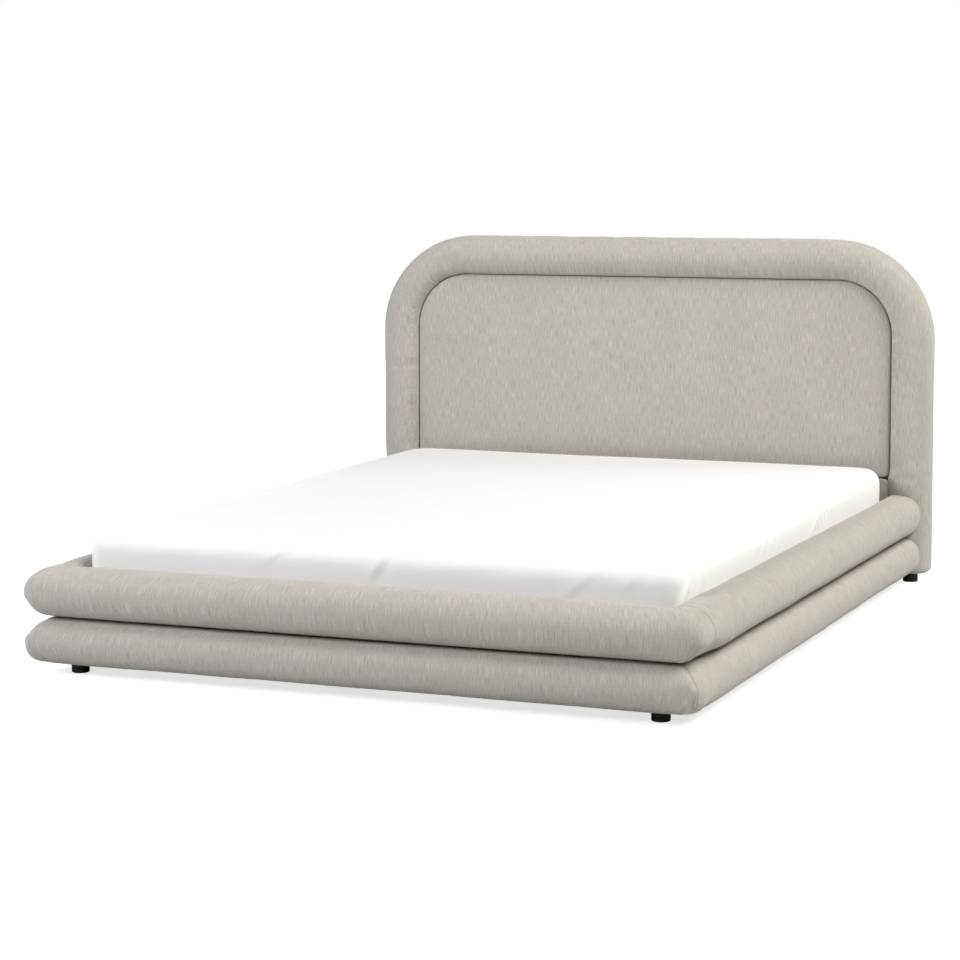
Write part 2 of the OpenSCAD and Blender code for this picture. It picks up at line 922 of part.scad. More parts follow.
headboard_post_left();
headboard_post_right();
headboard_top_rail();
headboard_lower_rail();
headboard_plywood();
headboard_border_foam();
headboard_border_cover();
headboard_panel_foam();
headboard_panel_cover();
headboard_apron_foam();
headboard_apron_cover();
headboard_back_cloth();
foot_rail();
side_rail_left();
side_rail_right();
foot_upper_roll_foam();
foot_upper_roll_cover();
foot_lower_roll_foam();
foot_lower_roll_cover();
left_upper_roll_foam();
left_upper_roll_cover();
left_lower_roll_foam();
left_lower_roll_cover();
right_upper_roll_foam();
right_upper_roll_cover();
right_lower_roll_foam();
right_lower_roll_cover();
slat_ledger_left();
slat_ledger_right();
centre_beam();
beam_hangers();
centre_legs();
centre_leg_glides();
corner_brackets();
bracket_screws();
headboard_bolts();
headboard_nuts();
foot_plates();
foot_screws();
foot_front_left();
foot_front_right();
foot_rear_left();
foot_rear_right();
slats();
slat_straps();
mattress_core();
fitted_sheet();
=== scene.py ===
"""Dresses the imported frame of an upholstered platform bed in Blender.

The padded rolls, the headboard's border, panel and apron, and the mattress with its fitted
sheet are modelled as sewn covers over foam and replace their plain solids. Timber, steel and
plastic parts stay as packed and get their materials here. All lengths are metres in the
shared frame: X across the bed, Y towards the headboard, Z up.
"""

import math
import random

import bmesh
import bpy
import numpy as np
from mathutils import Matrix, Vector, noise


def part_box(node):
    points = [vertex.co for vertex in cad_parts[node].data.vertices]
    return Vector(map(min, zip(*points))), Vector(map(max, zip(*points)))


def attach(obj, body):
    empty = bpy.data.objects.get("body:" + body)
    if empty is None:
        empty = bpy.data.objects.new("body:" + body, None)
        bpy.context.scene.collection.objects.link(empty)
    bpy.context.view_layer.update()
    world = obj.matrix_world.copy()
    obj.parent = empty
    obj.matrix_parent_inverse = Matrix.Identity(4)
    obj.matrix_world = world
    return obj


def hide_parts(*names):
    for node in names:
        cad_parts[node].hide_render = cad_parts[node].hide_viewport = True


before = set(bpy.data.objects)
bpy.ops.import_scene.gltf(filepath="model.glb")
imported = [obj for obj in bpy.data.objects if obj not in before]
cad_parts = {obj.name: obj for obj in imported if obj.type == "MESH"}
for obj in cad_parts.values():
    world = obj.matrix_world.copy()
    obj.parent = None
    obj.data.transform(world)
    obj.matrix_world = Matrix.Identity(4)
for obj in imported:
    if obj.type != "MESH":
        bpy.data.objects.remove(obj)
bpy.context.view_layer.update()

# Camera at the photograph's viewing angle
CAMERA_PLACE = (2.5022, -6.4730, 1.2349)
CAMERA_TURN_DEGREES = (85.158, 0.0, 22.037)
CAMERA_LENS_MM = 96.93
CAMERA_SHIFT_Y = -0.1

# Places and sizes taken from the frame's own pieces
UPPER_LOW, UPPER_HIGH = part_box("foot_upper_roll_cover")
LOWER_LOW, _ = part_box("foot_lower_roll_cover")
BOARD_LOW, BOARD_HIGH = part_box("headboard_border_cover")
PANEL_LOW, PANEL_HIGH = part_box("headboard_panel_cover")
APRON_LOW, APRON_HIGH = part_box("headboard_apron_cover")
CLOTH_LOW, CLOTH_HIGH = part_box("headboard_back_cloth")
SHEET_LOW, SHEET_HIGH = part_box("fitted_sheet")
CORE_LOW, CORE_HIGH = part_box("mattress_core")
RAIL_LOW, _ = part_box("side_rail_right")

# Rolls: how far each stands out past the crease, and its section's half width
UPPER_OUT = 0.055
LOWER_OUT = 0.054
UPPER_HALF_WIDTH = 0.068
LOWER_HALF_WIDTH = 0.064
CREASE_X = UPPER_HIGH.x - UPPER_OUT
CREASE_Y = UPPER_LOW.y + UPPER_OUT
CREASE_Z = UPPER_LOW.z
ROLL_TOP = UPPER_HIGH.z
LOWER_BOTTOM = LOWER_LOW.z
HEAD_Y = BOARD_LOW.y
BACK_Y = BOARD_HIGH.y
SEAM_Y = CREASE_Y + 0.050
RAIL_INNER_OUT = RAIL_LOW.x - CREASE_X
LINING = 0.002

# A roll's section, as its pinch towards the crease and its fullness: pinched once round a foot
# corner, over PINCH_TURNS of its quarter turn, and fuller along the straights, which a side roll
# reaches over SHAPE_REACH; the lower roll's underside is as full as LOWER_BELLY
CORNER_SHAPE = (0.009, 2.0)
STRAIGHT_SHAPE = (0.0, 2.45)
SHAPE_REACH = 0.16
PINCH_TURNS = (0.0, 0.45)
LOWER_BELLY = 2.6

# Angles round a section between which its pinch sets in and fades: upper in degrees below its
# middle, lower in radians above it
UPPER_PINCH_IN, UPPER_PINCH_OUT = (4, 32), (-77, -64)
LOWER_PINCH_IN, LOWER_PINCH_OUT = (0.07, 0.56), (-1.34, -1.12)

# The turn at a foot corner: half axes at the crease, and across and along outside it
TURN_INSIDE = 0.008
TURN_ACROSS = 0.034
TURN_ALONG = 0.060
TURN_POWER = 1.3
MITRE_TURN = 0.5
SEAM_BACK = 0.85

# Roundings at the seams and ends, and the room left for the filling to swell
SEAM_ROUND = 0.005
MITRE_ROUND = 0.001
HEAD_ROUND = 0.009
LEG_ROUND = 0.014
FILL_ROOM = 0.0022
HELD_RINGS = 6
SEWN_REACH = 0.012
HIDDEN_OUT = -0.045

# Where each side roll's cloth starts, so that no two weaves are alike
SIDE_CLOTH = {"right": 3.1, "left": 7.4}

# Headboard
BORDER_WIDTH = 0.120
BOARD_CORNER = 0.300
BORDER_MID = 0.56 * (BACK_Y - HEAD_Y)
BORDER_HALF = BORDER_WIDTH / 2
FRONT_POWER = 2.5
BACK_POWER = 7.0
PANEL_CORNER = 0.163
PANEL_CROWN = 0.009
PANEL_ROUND = 0.008
PANEL_SWELL = 0.003
PAD_CORNER = 0.012
APRON_ROUND = 0.003
APRON_LIP = 0.008
APRON_CROWN = 0.001
APRON_DEPTH = APRON_LOW.y - HEAD_Y
CLOTH_TUCK = 0.007
BACK_COUNTS = (60, 36)

# Mattress
MATTRESS_CROWN = 0.006
MATTRESS_EDGE = 0.040
MATTRESS_CORNERS = (0.055, 0.085)
HEAD_END_RISE = 0.008
UNDER_EDGE = 0.025
TURNED_UNDER = 0.070
SHEET_CELL = 0.012
MATTRESS_CELL = 0.03
FOLD_HEIGHT = 0.0070
FOLD_DIP = 0.55

# Spans of a fold's width, length and share of the full height
FOLD_SPANS = ((0.008, 0.013), (0.07, 0.15), (0.4, 1.0))

# Groups of folds on each side of the sheet: start, stop, spacing, seed, and lean where it isn't 1
RIGHT_FOLDS = ((-0.93, -0.72, 0.045, 3), (-0.30, 0.00, 0.08, 8), (0.34, 0.66, 0.06, 5, 2.0))
LEFT_FOLDS = ((-0.85, -0.55, 0.06, 11), (-0.2, 0.3, 0.09, 12), (0.6, 0.95, 0.05, 13))
FOOT_FOLDS = ((-0.2, 0.2, 0.3, 22), (0.60, 0.70, 0.08, 23))
HEAD_FOLDS = ((-0.6, -0.3, 0.07, 31), (0.2, 0.6, 0.08, 32))

# Filling: how far each cover may swell, its slack, and the foam's and sheet's unevenness
ROLL_CAP = 0.003
CAPS = {"headboard_panel": 0.005, "headboard_apron": 0.001}
SLACK = 0.004
FILL_FRAMES = 20
UNEVEN_HEIGHT = 0.0012
UNEVEN_SPAN = 0.14
SHEET_UNEVEN_HEIGHT = 0.0015
SHEET_UNEVEN_SPAN = 0.23

# Fineness of the sewn pieces
CELL = 0.011
SECTION_POINTS = 44
BORDER_POINTS = SECTION_POINTS + 8
CAP_RINGS = 3
WEAVE_MAP = "weave"


def smooth(x, low, high):
    """Rises from 0 at low to 1 at high along a soft step."""
    t = np.clip((np.asarray(x, float) - low) / (high - low), 0.0, 1.0)
    return t * t * (3 - 2 * t)


def run_lengths(points):
    """Distance along a line of points up to each of them."""
    steps = np.linalg.norm(np.diff(points, axis=0), axis=1)
    return np.concatenate([[0.0], np.cumsum(steps)])


def resample(points, count):
    """The same line with count points spaced evenly."""
    at = run_lengths(points)
    wanted = np.linspace(0.0, at[-1], count)
    return np.column_stack([np.interp(wanted, at, points[:, k]) for k in range(points.shape[1])])


def add_object(name, vertices, faces, corner_weave):
    """A mesh object whose weave map holds cloth coordinates in metres for each face corner."""
    mesh = bpy.data.meshes.new(name)
    mesh.from_pydata([tuple(v) for v in vertices], [], faces)
    layer = mesh.uv_layers.new(name=WEAVE_MAP)
    layer.data.foreach_set("uv", np.asarray(corner_weave, np.float32).ravel())
    mesh.polygons.foreach_set("use_smooth", [True] * len(mesh.polygons))
    shell = bmesh.new()
    shell.from_mesh(mesh)
    bmesh.ops.recalc_face_normals(shell, faces=shell.faces)
    shell.to_mesh(mesh)
    shell.free()
    piece = bpy.data.objects.new(name, mesh)
    bpy.context.scene.collection.objects.link(piece)
    return piece


def grid_faces(rows, columns, closed):
    """Quads between neighbouring rows of a grid, wrapped round where closed."""
    faces = []
    steps = columns if closed else columns - 1
    for i in range(rows - 1):
        near, far = i * columns, (i + 1) * columns
        for j in range(steps):
            k = (j + 1) % columns
            faces.append((near + j, near + k, far + k, far + j))
    return faces


def tube(name, rings, weave):
    """A closed tube through rings of points, with a flat cap on each end.

    weave holds one more column than rings, so that it doesn't run backwards over the last quad.
    """
    points = rings.shape[1]
    stack, cloth = list(rings), list(weave)
    for end in (0, -1):
        ring, ring_weave = rings[end], weave[end]
        middle, weave_middle = ring.mean(axis=0), ring_weave.mean(axis=0)
        for step in range(1, CAP_RINGS + 1):
            share = 1 - step / (CAP_RINGS + 0.6)
            outside = 0 if end == 0 else len(stack)
            stack.insert(outside, middle + (ring - middle) * share)
            cloth.insert(outside, weave_middle + (ring_weave - weave_middle) * share)
    rows = len(stack)
    vertices = np.concatenate(stack)
    faces = grid_faces(rows, points, True)
    corners = []
    for i in range(rows - 1):
        for j in range(points):
            corners += [cloth[i][j], cloth[i][j + 1], cloth[i + 1][j + 1], cloth[i + 1][j]]
    first = list(range(points))[::-1]
    last = [(rows - 1) * points + j for j in range(points)]
    faces += [first, last]
    corners += [cloth[0][j] for j in first]
    corners += [cloth[-1][j] for j in range(points)]
    return add_object(name, vertices, faces, corners)


def inset_section(section, depth):
    """A closed outline drawn in by depth along its own normals."""
    ahead, behind = np.roll(section, -1, axis=0), np.roll(section, 1, axis=0)
    along = ahead - behind
    along /= np.linalg.norm(along, axis=1)[:, None]
    inward = np.column_stack([-along[:, 1], along[:, 0]])
    area = np.sum(section[:, 0] * ahead[:, 1] - ahead[:, 0] * section[:, 1])
    return section + inward * depth * np.sign(area)


def rounding(radius, steps=5):
    """(distance from the end, inset) pairs that round the end of a tube."""
    turns = [math.pi / 2 * k / steps for k in range(steps + 1)]
    return [(radius * (1 - math.cos(t)), radius * (1 - math.sin(t))) for t in turns]


def closed_lengths(section):
    """Distance round a closed outline, with the whole way round as the last value."""
    return run_lengths(np.vstack([section, section[:1]]))


def rounded_share(wave, power):
    """A sine or cosine made fuller by power, for a section between a circle and a box."""
    return np.sign(wave) * np.abs(wave) ** (2 / power)


def upper_outline(shape=CORNER_SHAPE):
    """The upper roll's section: shape is how far it pulls in to the crease, and its fullness."""
    pinch, power = shape
    half_z = (ROLL_TOP - CREASE_Z) / 2
    turn = np.linspace(-150, 210, SECTION_POINTS, endpoint=False)
    c, s = np.cos(np.radians(turn)), np.sin(np.radians(turn))
    out = UPPER_OUT - UPPER_HALF_WIDTH + UPPER_HALF_WIDTH * rounded_share(c, power)
    z = CREASE_Z + half_z + half_z * rounded_share(s, power)
    z += pinch * smooth(-turn, *UPPER_PINCH_IN) * smooth(turn, *UPPER_PINCH_OUT)
    return inset_section(np.column_stack([out, z]), FILL_ROOM)


def side_upper_outline(shape=CORNER_SHAPE):
    """The upper roll's section along a side, flat where it stands against the mattress."""
    section = upper_outline(shape)
    section[:, 0] = np.maximum(section[:, 0], RAIL_INNER_OUT - LINING)
    return resample(np.vstack([section, section[:1]]), SECTION_POINTS + 1)[:-1]


def turned_section(outline, turned):
    """A foot roll's section, full along its front and pinched once it has turned its corner."""
    straight = outline(STRAIGHT_SHAPE)
    return straight + (outline(CORNER_SHAPE) - straight) * smooth(turned, *PINCH_TURNS)


def fill_out(rings, outline):
    """Eases a side roll's rings from the pinched section at its corner to the fuller one."""
    change = outline(STRAIGHT_SHAPE) - outline(CORNER_SHAPE)
    move = change[:, :1] * np.array([1, 0, 0]) + change[:, 1:] * np.array([0, 0, 1])
    for ring in rings:
        ring += smooth(ring[:, 1].mean(), SEAM_Y, SEAM_Y + SHAPE_REACH) * move
    return rings


def lower_outline(shape=CORNER_SHAPE):
    """The lower roll's section, round outside and square against the slats' side."""
    pinch, power = shape
    half_z = (CREASE_Z - LOWER_BOTTOM) / 2
    middle = LOWER_OUT - LOWER_HALF_WIDTH
    turn = np.radians(np.linspace(-90, 90, 31))
    c, s = np.cos(turn), np.sin(turn)
    power = power + (max(power, LOWER_BELLY) - power) * smooth(-turn, -0.1, 0.5)
    out = middle + LOWER_HALF_WIDTH * rounded_share(c, power)
    z = LOWER_BOTTOM + half_z * (1 + rounded_share(s, power))
    z -= pinch * smooth(turn, *LOWER_PINCH_IN) * smooth(-turn, *LOWER_PINCH_OUT)
    inner = RAIL_INNER_OUT
    start = [inner, LOWER_BOTTOM]
    around = np.vstack([[start], np.column_stack([out, z]), [[inner, CREASE_Z], start]])
    section = resample(around, SECTION_POINTS + 1)[:-1]
    drawn = inset_section(section, FILL_ROOM)
    visible = (section[:, 0] > inner + 0.01)[:, None]
    return np.where(visible, drawn, section)


def corner_axes(out):
    """Plan half axes, across and along, of a roll's turn at a foot corner: tight inside it."""
    share = np.clip((out + UPPER_HALF_WIDTH - UPPER_OUT) / UPPER_HALF_WIDTH, 0, 1)
    return [TURN_INSIDE + (axis - TURN_INSIDE) * share for axis in (TURN_ACROSS, TURN_ALONG)]


def foot_station(section, turned, back):
    """Points of one ring of a foot roll: turned is the share of its corner's quarter turn."""
    points = []
    for out, z in section:
        side_x = CREASE_X + max(out, RAIL_INNER_OUT - LINING)
        front_y = CREASE_Y - out
        way = 1 if SEAM_Y > front_y else -1
        across, along = corner_axes(out)
        along = min(along, 0.9 * abs(SEAM_Y - front_y))
        angle = turned * math.pi / 2
        x = side_x - across + across * math.sin(angle)
        y = front_y + way * along * (1 - math.cos(angle)) ** TURN_POWER
        y += back * (SEAM_Y - y)
        points.append((x, y, z))
    return np.array(points)


def mirrored_rings(rings, weave):
    """A tube's right half, from the middle outwards, joined to its mirror image on the left."""
    left = [ring * np.array([-1, 1, 1]) for ring in rings[::-1]]
    left_weave = [cloth * np.array([-1, 1]) for cloth in weave[::-1]]
    return np.array(left + rings[1:]), np.array(left_weave + weave[1:])


def ring_cloth(rings, section, start=0.0):
    """Cloth coordinates of rings: length along the roll, then length round its section."""
    outermost = int(np.argmax(section[:, 0]))
    along = start + run_lengths(np.array([ring[outermost] for ring in rings]))
    around = closed_lengths(section)
    return [np.column_stack([np.full(len(around), at), around]) for at in along]


def foot_roll_rings(outline, end_turn, end_back, seam_round):
    """Right half of a foot roll: straight from the middle, round the corner, then its seam."""
    rings = []
    reach = CREASE_X + UPPER_OUT - TURN_ACROSS
    for share in np.linspace(0, 1, int(reach / CELL), endpoint=False):
        ring = foot_station(turned_section(outline, 0), 0, 0)
        ring[:, 0] *= share
        rings.append(ring)
    for turned in np.linspace(0, end_turn, int(10 * end_turn), endpoint=False):
        rings.append(foot_station(turned_section(outline, turned), turned, 0))
    section = turned_section(outline, end_turn)
    for back in np.linspace(0, end_back, 4) if end_back else []:
        rings.append(foot_station(section, end_turn, back))
    return rings + seam_rings(section, end_turn, end_back, seam_round, -1)[::-1]


def seam_rings(section, turned, back, radius, way):
    """Rings that round a roll off at its seam: way is 1 after the seam and -1 before it."""
    rings = []
    for away, inset in rounding(radius):
        ring = foot_station(inset_section(section, inset), turned, 1 if back else 0)
        shift = np.array([0, away, 0]) if back else np.array([1, 1, 0]) * away * math.sqrt(0.5)
        rings.append(ring + way * shift)
    return rings


def tube_hold(ring_held, count):
    """Weights that hold parts of each ring and a tube's ends, in the order of tube's vertices."""
    weights = np.tile(ring_held.astype(float), (count, 1))
    weights[:HELD_RINGS] = weights[-HELD_RINGS:] = 1.0
    cap = np.ones((CAP_RINGS, len(ring_held)))
    return np.vstack([cap, weights, cap]).ravel()


def roll_hold(rings, section):
    """Weights that hold a roll's cloth where it is sewn at the crease or hidden inside."""
    sewn = np.hypot(section[:, 0], section[:, 1] - CREASE_Z) < SEWN_REACH
    return tube_hold(sewn | (section[:, 0] < HIDDEN_OUT), len(rings))


def uneven(piece, height, span, offset, keep):
    """Moves a cover in and out a little, as foam that isn't quite even does."""
    rise = [noise.noise(Vector(place / span + offset)) for place in coordinates(piece.data)]
    push_out(piece.data, np.array(rise) * height * (keep < 0.5))


def coordinates(mesh, what="co"):
    """A mesh's points, or its normals there, as an array."""
    flat = np.zeros(len(mesh.vertices) * 3)
    mesh.vertices.foreach_get(what, flat)
    return flat.reshape(-1, 3)


def push_out(mesh, rise):
    """Moves each point of a mesh along its normal by its rise."""
    places = coordinates(mesh) + coordinates(mesh, "normal") * rise[:, None]
    mesh.vertices.foreach_set("co", places.ravel())
    mesh.update()


def stuff(covers):
    """Fills the covers in one cloth simulation, with sewn lines held and every move capped.

    covers maps each piece to its held weights and the cap on a point's move.
    """
    scene = bpy.context.scene
    before = {}
    for piece, (held, _) in covers.items():
        group = piece.vertex_groups.new(name="held")
        group.add([int(k) for k in np.flatnonzero(held > 0.5)], 1.0, "REPLACE")
        before[piece] = coordinates(piece.data)
        modifier = piece.modifiers.new("filling", "CLOTH")
        cloth = modifier.settings
        cloth.quality = 5
        cloth.mass = 0.3
        cloth.tension_stiffness = cloth.compression_stiffness = 15
        cloth.shear_stiffness = 5
        cloth.bending_stiffness = 0.5
        cloth.use_pressure = True
        cloth.uniform_pressure_force = 4
        cloth.shrink_min = -SLACK
        cloth.vertex_group_mass = "held"
        cloth.effector_weights.gravity = 0
        modifier.collision_settings.use_collision = False
        modifier.point_cache.frame_start = 1
        modifier.point_cache.frame_end = FILL_FRAMES
    for frame_number in range(1, FILL_FRAMES + 1):
        scene.frame_set(frame_number)
    depsgraph = bpy.context.evaluated_depsgraph_get()
    for piece, (_, cap) in covers.items():
        after = coordinates(piece.evaluated_get(depsgraph).data)
        move = after - before[piece]
        length = np.linalg.norm(move, axis=1)[:, None] + 1e-9
        settled = before[piece] + move / length * cap * np.tanh(length / cap)
        piece.modifiers.remove(piece.modifiers["filling"])
        piece.vertex_groups.clear()
        piece.data.vertices.foreach_set("co", settled.ravel())
        piece.data.update()
    scene.frame_set(1)


def build_foot_upper():
    """The foot's upper roll, which turns both corners to a seam on each side."""
    section = upper_outline()
    rings = foot_roll_rings(upper_outline, 1.0, SEAM_BACK, SEAM_ROUND)
    rings, cloth = mirrored_rings(rings, ring_cloth(rings, section))
    return tube("foot_upper_roll", rings, cloth), roll_hold(rings, section)


def build_foot_lower():
    """The foot's lower roll, mitred to the side rolls at its corners."""
    section = lower_outline()
    rings = foot_roll_rings(lower_outline, MITRE_TURN, 0, MITRE_ROUND)
    rings, cloth = mirrored_rings(rings, ring_cloth(rings, section))
    return tube("foot_lower_roll", rings, cloth), roll_hold(rings, section)


def board_front(x):
    """Y of the headboard border's rounded front at a place across it."""
    across = np.clip(np.abs(x - (BOARD_HIGH.x - BORDER_HALF)) / BORDER_HALF, 0, 0.96)
    return HEAD_Y + BORDER_MID * (1 - (1 - across**FRONT_POWER) ** (1 / FRONT_POWER))


def run_to_headboard(rings, section):
    """Adds the straight stretch of a right-hand side roll from its last ring to the headboard."""
    start = rings[-1]
    finish = np.column_stack([start[:, 0], board_front(start[:, 0]), start[:, 2]])
    length = HEAD_Y - start[:, 1].min()
    share_end = 1 - HEAD_ROUND / length
    for share in np.linspace(0, share_end, int(length / CELL))[1:-1]:
        rings.append(start + (finish - start) * share)
    for away, inset in reversed(rounding(HEAD_ROUND)):
        drawn = inset_section(section, inset)
        x = CREASE_X + drawn[:, 0]
        rings.append(np.column_stack([x, board_front(x) - away, drawn[:, 1]]))
    return rings


def build_side_upper(side):
    """An upper side roll, from its seam with the foot's roll to the headboard."""
    section = side_upper_outline()
    rings = []
    for away, inset in rounding(SEAM_ROUND):
        drawn = inset_section(section, inset)
        y = np.full(len(drawn), SEAM_Y + away)
        rings.append(np.column_stack([CREASE_X + drawn[:, 0], y, drawn[:, 1]]))
    rings = fill_out(run_to_headboard(rings, section), side_upper_outline)
    return side_roll(side, "upper", rings, section)


def side_roll(side, level, rings, section):
    """The right-hand roll as built, or its mirror image on the left, with its held weights."""
    cloth = np.array(ring_cloth(rings, section, SIDE_CLOTH[side]))
    places = np.array(rings)
    if side == "left":
        places = places * np.array([-1, 1, 1])
    return tube(f"{side}_{level}_roll", places, cloth), roll_hold(rings, section)


def build_side_lower(side):
    """A lower side roll, from its mitre at the foot corner to the headboard."""
    section, mitred = lower_outline(), turned_section(lower_outline, MITRE_TURN)
    rings = seam_rings(mitred, MITRE_TURN, 0, MITRE_ROUND, 1)
    for turned in np.linspace(MITRE_TURN + 0.1, 1, 5):
        rings.append(foot_station(turned_section(lower_outline, turned), turned, 0))
    rings = fill_out(run_to_headboard(rings, section), lower_outline)
    return side_roll(side, "lower", rings, section)


def border_outline():
    """Section of the headboard's border: across from its inner edge, then back from its front."""
    turn = np.radians(np.linspace(90, 450, BORDER_POINTS, endpoint=False))
    c, s = np.cos(turn), np.sin(turn)
    power = np.where(s < 0, FRONT_POWER, BACK_POWER)
    across = BORDER_HALF * (1 + rounded_share(c, power))
    reach = np.where(s < 0, BORDER_MID, BACK_Y - HEAD_Y - BORDER_MID)
    outline = np.column_stack([across, BORDER_MID + reach * rounded_share(s, power)])
    return resample(np.vstack([outline, outline[:1]]), BORDER_POINTS + 1)[:-1]


def beside_apron(section, z):
    """The border's section, without its dip at the panel's seam where the apron runs into it."""
    share = float(smooth(-z, -APRON_HIGH.z - 0.035, -APRON_HIGH.z + 0.004))
    inner = np.flatnonzero((section[:, 0] < BORDER_HALF) & (section[:, 1] < BORDER_MID))
    if share == 0 or len(inner) < 3:
        return section
    inner = inner[np.argsort(section[inner, 0] - section[inner, 1])]
    low, front_y = section[:, 0].min(), section[:, 1].min()
    across = np.linspace(0, 1, 16)
    sweep = front_y + APRON_DEPTH * (1 - across) ** 2
    front = np.column_stack([low + (BORDER_HALF - low) * across, sweep])
    line = resample(np.vstack([[[low, BORDER_MID]], front]), len(inner) + 2)[1:-1]
    changed = section.copy()
    changed[inner] += (line - section[inner]) * share
    return changed


def arch_place(section, turned, z=None):
    """One ring of the border, turned degrees round its right corner, or at z on its leg."""
    if z is not None:
        section = beside_apron(section, z)
    outer = section[:, 0] / BORDER_WIDTH
    radius = PANEL_CORNER + (BOARD_CORNER - PANEL_CORNER) * outer
    turn = math.radians(turned)
    x = BOARD_HIGH.x - BORDER_WIDTH + BORDER_WIDTH * outer - radius * (1 - math.cos(turn))
    height = BOARD_HIGH.z - BORDER_WIDTH * (1 - outer) - radius * (1 - math.sin(turn))
    if z is not None:
        height = np.full(len(section), z)
    return np.column_stack([x, HEAD_Y + section[:, 1], height])


def arch_cloth(section, ring, turned):
    """Cloth coordinates that keep the headboard's threads upright over its border."""
    closed = np.vstack([ring, ring[:1]])
    lean = math.radians(turned)
    depth = closed[:, 1] - HEAD_Y
    across = closed[:, 0] + depth * math.cos(lean)
    return np.column_stack([across, closed[:, 2] + depth * math.sin(lean)])


def build_border():
    """The headboard's border, up one leg, over the arch and down the other."""
    section = border_outline()
    bend_z = BOARD_HIGH.z - BOARD_CORNER
    rings, cloth = [], []

    def add(drawn, turned, z=None):
        rings.append(arch_place(drawn, turned, z))
        cloth.append(arch_cloth(drawn, rings[-1], turned))

    for away, inset in rounding(LEG_ROUND):
        add(inset_section(section, inset), 0, BOARD_LOW.z + away)
    first = BOARD_LOW.z + LEG_ROUND
    for z in np.linspace(first, bend_z, int((bend_z - first) / CELL))[1:-1]:
        add(section, 0, z)
    for turned in np.linspace(0, 90, int(BOARD_CORNER * math.pi / 2 / CELL)):
        add(section, turned)
    end = rings[-1]
    for share in np.linspace(1, 0, int(end[0, 0] / CELL))[1:]:
        rings.append(end * np.array([share, 1, 1]))
        cloth.append(arch_cloth(section, rings[-1], 90))
    rings, cloth = mirrored_rings(rings[::-1], cloth[::-1])
    across, back = section.T
    ring_held = (back > BORDER_MID + 0.02) | ((across < SEWN_REACH) & (back > 0.02))
    return tube("headboard_border", rings, cloth), tube_hold(ring_held, len(rings))


def arc(centre, radius, start, end, steps=8):
    """Points of an arc in the plane, with angles in degrees."""
    turns = np.radians(np.linspace(start, end, steps + 1))
    return np.column_stack([centre[0] + radius * np.cos(turns), centre[1] + radius * np.sin(turns)])


def cells(low, high, size):
    """How many cells of one size fit across and up a rectangle."""
    return int((high[0] - low[0]) / size), int((high[1] - low[1]) / size)


def rounded_rectangle(low, high, corners, inset, counts):
    """Bottom, right, top and left of a rounded rectangle, split halfway round its corners.

    corners holds the lower and upper corners' radii, and counts the steps across and up.
    """
    x0, y0, x1, y1 = low[0] + inset, low[1] + inset, high[0] - inset, high[1] - inset
    lower, upper = (max(r - inset, 0.002) for r in corners)
    low_left, low_right = (x0 + lower, y0 + lower), (x1 - lower, y0 + lower)
    top_left, top_right = (x0 + upper, y1 - upper), (x1 - upper, y1 - upper)
    bottom = np.vstack([arc(low_left, lower, 225, 270), arc(low_right, lower, 270, 315)])
    right = np.vstack([arc(low_right, lower, -45, 0), arc(top_right, upper, 0, 45)])
    top = np.vstack([arc(top_left, upper, 135, 90), arc(top_right, upper, 90, 45)])
    left = np.vstack([arc(low_left, lower, 225, 180), arc(top_left, upper, 180, 135)])
    across, up = counts
    steps = (bottom, across), (right, up), (top, across), (left, up)
    return tuple(resample(side, count + 1) for side, count in steps)


def sides_of(low, high, corners, counts):
    """The sides of a rounded rectangle, as a function of how far they are drawn in."""
    return lambda inset: rounded_rectangle(low, high, corners, inset, counts)


def patch(sides):
    """A smooth grid of points that fills the four sides, as rows from the bottom up."""
    bottom, right, top, left = sides
    u = np.linspace(0, 1, len(bottom))[None, :, None]
    v = np.linspace(0, 1, len(left))[:, None, None]
    ruled = (1 - v) * bottom[None] + v * top[None] + (1 - u) * left[:, None] + u * right[:, None]
    ends = (1 - u) * (1 - v) * bottom[0] + u * (1 - v) * bottom[-1]
    return ruled - (ends + (1 - u) * v * top[0] + u * v * top[-1])


def loop_of(sides):
    """The four sides as one closed loop, anticlockwise from the lower left corner."""
    bottom, right, top, left = sides
    return np.vstack([bottom, right[1:], top[::-1][1:], left[::-1][1:-1]])


def loop_indices(columns, rows):
    """Indices of a patch's border points in the order of loop_of."""
    bottom = list(range(columns))
    right = [j * columns + columns - 1 for j in range(1, rows)]
    top = [(rows - 1) * columns + i for i in range(columns - 2, -1, -1)]
    left = [j * columns for j in range(rows - 2, 0, -1)]
    return bottom + right + top + left


def dome(columns, rows):
    """Share of a pad's crown at each point of its patch."""
    u = np.linspace(-1, 1, columns)[None, :]
    v = np.linspace(-1, 1, rows)[:, None]
    return (1 - u**4) * (1 - v**4)


